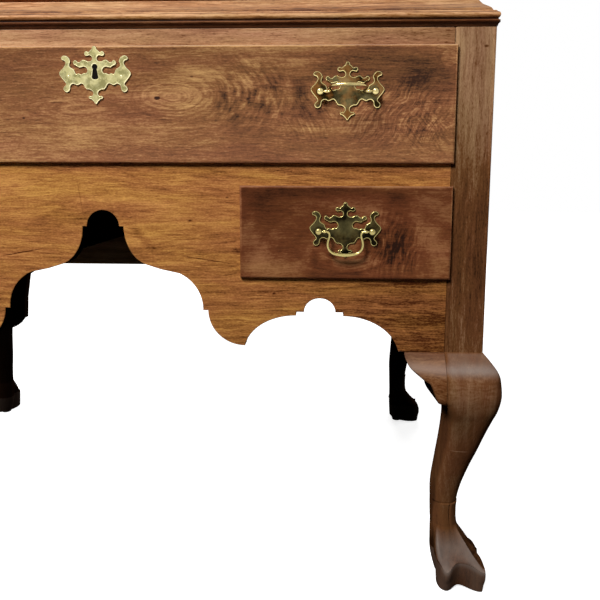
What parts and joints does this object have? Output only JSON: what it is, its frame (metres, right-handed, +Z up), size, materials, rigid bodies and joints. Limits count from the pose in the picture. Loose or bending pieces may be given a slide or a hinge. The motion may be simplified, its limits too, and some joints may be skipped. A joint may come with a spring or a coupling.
{
  "type": "highboy",
  "caption": "High chest of drawers on cabriole legs with trifid feet, scalloped apron, lipped drawers that slide and pierced brass pulls with swinging bails.",
  "frame": {"origin": "on the floor below the middle of the bounding box", "axes": "+X to the viewer's right when facing the drawers, -Y out of the drawer fronts, +Z up"},
  "size_m": [1.0828, 0.675, 1.6215],
  "materials": {
    "walnut_case": "waxed old walnut",
    "figured_walnut_front": "polished figured walnut",
    "dark_walnut_leg": "waxed dark walnut",
    "old_pine": "bare aged softwood",
    "aged_brass": "worn cast brass"
  },
  "bodies": {
    "case": {"leg_front_left": "dark_walnut_leg", "leg_front_right": "dark_walnut_leg", "leg_back_left": "dark_walnut_leg", "leg_back_right": "dark_walnut_leg", "knee_block_front_left": "dark_walnut_leg", "knee_block_front_right": "dark_walnut_leg", "knee_block_back_left": "dark_walnut_leg", "knee_block_back_right": "dark_walnut_leg", "front_apron": "walnut_case", "lower_top_rail": "walnut_case", "lower_side_left": "walnut_case", "lower_side_right": "walnut_case", "lower_back_board": "old_pine", "drawer_runner_frame": "old_pine", "waist_moulding": "walnut_case", "upper_side_left": "walnut_case", "upper_side_right": "walnut_case", "upper_back_board": "old_pine", "upper_bottom_board": "walnut_case", "dustboard_1": "walnut_case", "dustboard_2": "walnut_case", "dustboard_3": "walnut_case", "drawer_partition": "walnut_case", "frieze_rail": "walnut_case", "top_board": "walnut_case", "cornice": "walnut_case"},
    "long_drawer_body": {"long_drawer": "figured_walnut_front", "long_drawer_pull_left_plate": "aged_brass", "long_drawer_pull_right_plate": "aged_brass", "escutcheon": "aged_brass"},
    "long_drawer_pull_left_bail_body": {"long_drawer_pull_left_bail": "aged_brass"},
    "long_drawer_pull_right_bail_body": {"long_drawer_pull_right_bail": "aged_brass"},
    "small_drawer_left_body": {"small_drawer_left": "figured_walnut_front", "small_drawer_pull_left_plate": "aged_brass"},
    "small_drawer_pull_left_bail_body": {"small_drawer_pull_left_bail": "aged_brass"},
    "small_drawer_right_body": {"small_drawer_right": "figured_walnut_front", "small_drawer_pull_right_plate": "aged_brass"},
    "small_drawer_pull_right_bail_body": {"small_drawer_pull_right_bail": "aged_brass"},
    "upper_drawer_1_body": {"upper_drawer_1": "figured_walnut_front", "upper_drawer_1_pull_left_plate": "aged_brass", "upper_drawer_1_pull_right_plate": "aged_brass"},
    "upper_drawer_1_pull_left_bail_body": {"upper_drawer_1_pull_left_bail": "aged_brass"},
    "upper_drawer_1_pull_right_bail_body": {"upper_drawer_1_pull_right_bail": "aged_brass"},
    "upper_drawer_2_body": {"upper_drawer_2": "figured_walnut_front", "upper_drawer_2_pull_left_plate": "aged_brass", "upper_drawer_2_pull_right_plate": "aged_brass"},
    "upper_drawer_2_pull_left_bail_body": {"upper_drawer_2_pull_left_bail": "aged_brass"},
    "upper_drawer_2_pull_right_bail_body": {"upper_drawer_2_pull_right_bail": "aged_brass"},
    "upper_drawer_3_body": {"upper_drawer_3": "figured_walnut_front", "upper_drawer_3_pull_left_plate": "aged_brass", "upper_drawer_3_pull_right_plate": "aged_brass"},
    "upper_drawer_3_pull_left_bail_body": {"upper_drawer_3_pull_left_bail": "aged_brass"},
    "upper_drawer_3_pull_right_bail_body": {"upper_drawer_3_pull_right_bail": "aged_brass"},
    "top_drawer_left_body": {"top_drawer_left": "figured_walnut_front", "top_drawer_pull_left_plate": "aged_brass"},
    "top_drawer_pull_left_bail_body": {"top_drawer_pull_left_bail": "aged_brass"},
    "top_drawer_right_body": {"top_drawer_right": "figured_walnut_front", "top_drawer_pull_right_plate": "aged_brass"},
    "top_drawer_pull_right_bail_body": {"top_drawer_pull_right_bail": "aged_brass"}
  },
  "joints": [
    {"name": "long_drawer_slide", "type": "slide", "parent": "case", "child": "long_drawer_body", "axis": [0, -1, 0], "range_m": [0, 0.42]},
    {"name": "long_drawer_pull_left_swing", "type": "hinge", "parent": "long_drawer_body", "child": "long_drawer_pull_left_bail_body", "pos_m": [-0.3272, -0.2995, 0.6865], "axis": [-1, 0, 0], "range_deg": [-5, 175]},
    {"name": "long_drawer_pull_right_swing", "type": "hinge", "parent": "long_drawer_body", "child": "long_drawer_pull_right_bail_body", "pos_m": [0.3272, -0.2995, 0.6865], "axis": [-1, 0, 0], "range_deg": [-103, 77]},
    {"name": "small_drawer_left_slide", "type": "slide", "parent": "case", "child": "small_drawer_left_body", "axis": [0, -1, 0], "range_m": [0, 0.42]},
    {"name": "small_drawer_pull_left_swing", "type": "hinge", "parent": "small_drawer_left_body", "child": "small_drawer_pull_left_bail_body", "pos_m": [-0.3266, -0.2995, 0.508], "axis": [-1, 0, 0], "range_deg": [-5, 175]},
    {"name": "small_drawer_right_slide", "type": "slide", "parent": "case", "child": "small_drawer_right_body", "axis": [0, -1, 0], "range_m": [0, 0.42]},
    {"name": "small_drawer_pull_right_swing", "type": "hinge", "parent": "small_drawer_right_body", "child": "small_drawer_pull_right_bail_body", "pos_m": [0.3266, -0.2995, 0.508], "axis": [-1, 0, 0], "range_deg": [-5, 175]},
    {"name": "upper_drawer_1_slide", "type": "slide", "parent": "case", "child": "upper_drawer_1_body", "axis": [0, -1, 0], "range_m": [0, 0.4]},
    {"name": "upper_drawer_1_pull_left_swing", "type": "hinge", "parent": "upper_drawer_1_body", "child": "upper_drawer_1_pull_left_bail_body", "pos_m": [-0.305, -0.2675, 0.919], "axis": [-1, 0, 0], "range_deg": [-5, 175]},
    {"name": "upper_drawer_1_pull_right_swing", "type": "hinge", "parent": "upper_drawer_1_body", "child": "upper_drawer_1_pull_right_bail_body", "pos_m": [0.305, -0.2675, 0.919], "axis": [-1, 0, 0], "range_deg": [-5, 175]},
    {"name": "upper_drawer_2_slide", "type": "slide", "parent": "case", "child": "upper_drawer_2_body", "axis": [0, -1, 0], "range_m": [0, 0.4]},
    {"name": "upper_drawer_2_pull_left_swing", "type": "hinge", "parent": "upper_drawer_2_body", "child": "upper_drawer_2_pull_left_bail_body", "pos_m": [-0.305, -0.2675, 1.1305], "axis": [-1, 0, 0], "range_deg": [-5, 175]},
    {"name": "upper_drawer_2_pull_right_swing", "type": "hinge", "parent": "upper_drawer_2_body", "child": "upper_drawer_2_pull_right_bail_body", "pos_m": [0.305, -0.2675, 1.1305], "axis": [-1, 0, 0], "range_deg": [-5, 175]},
    {"name": "upper_drawer_3_slide", "type": "slide", "parent": "case", "child": "upper_drawer_3_body", "axis": [0, -1, 0], "range_m": [0, 0.4]},
    {"name": "upper_drawer_3_pull_left_swing", "type": "hinge", "parent": "upper_drawer_3_body", "child": "upper_drawer_3_pull_left_bail_body", "pos_m": [-0.305, -0.2675, 1.317], "axis": [-1, 0, 0], "range_deg": [-5, 175]},
    {"name": "upper_drawer_3_pull_right_swing", "type": "hinge", "parent": "upper_drawer_3_body", "child": "upper_drawer_3_pull_right_bail_body", "pos_m": [0.305, -0.2675, 1.317], "axis": [-1, 0, 0], "range_deg": [-5, 175]},
    {"name": "top_drawer_left_slide", "type": "slide", "parent": "case", "child": "top_drawer_left_body", "axis": [0, -1, 0], "range_m": [0, 0.4]},
    {"name": "top_drawer_pull_left_swing", "type": "hinge", "parent": "top_drawer_left_body", "child": "top_drawer_pull_left_bail_body", "pos_m": [-0.2362, -0.2675, 1.4785], "axis": [-1, 0, 0], "range_deg": [-5, 175]},
    {"name": "top_drawer_right_slide", "type": "slide", "parent": "case", "child": "top_drawer_right_body", "axis": [0, -1, 0], "range_m": [0, 0.4]},
    {"name": "top_drawer_pull_right_swing", "type": "hinge", "parent": "top_drawer_right_body", "child": "top_drawer_pull_right_bail_body", "pos_m": [0.2362, -0.2675, 1.4785], "axis": [-1, 0, 0], "range_deg": [-5, 175]}
  ]
}
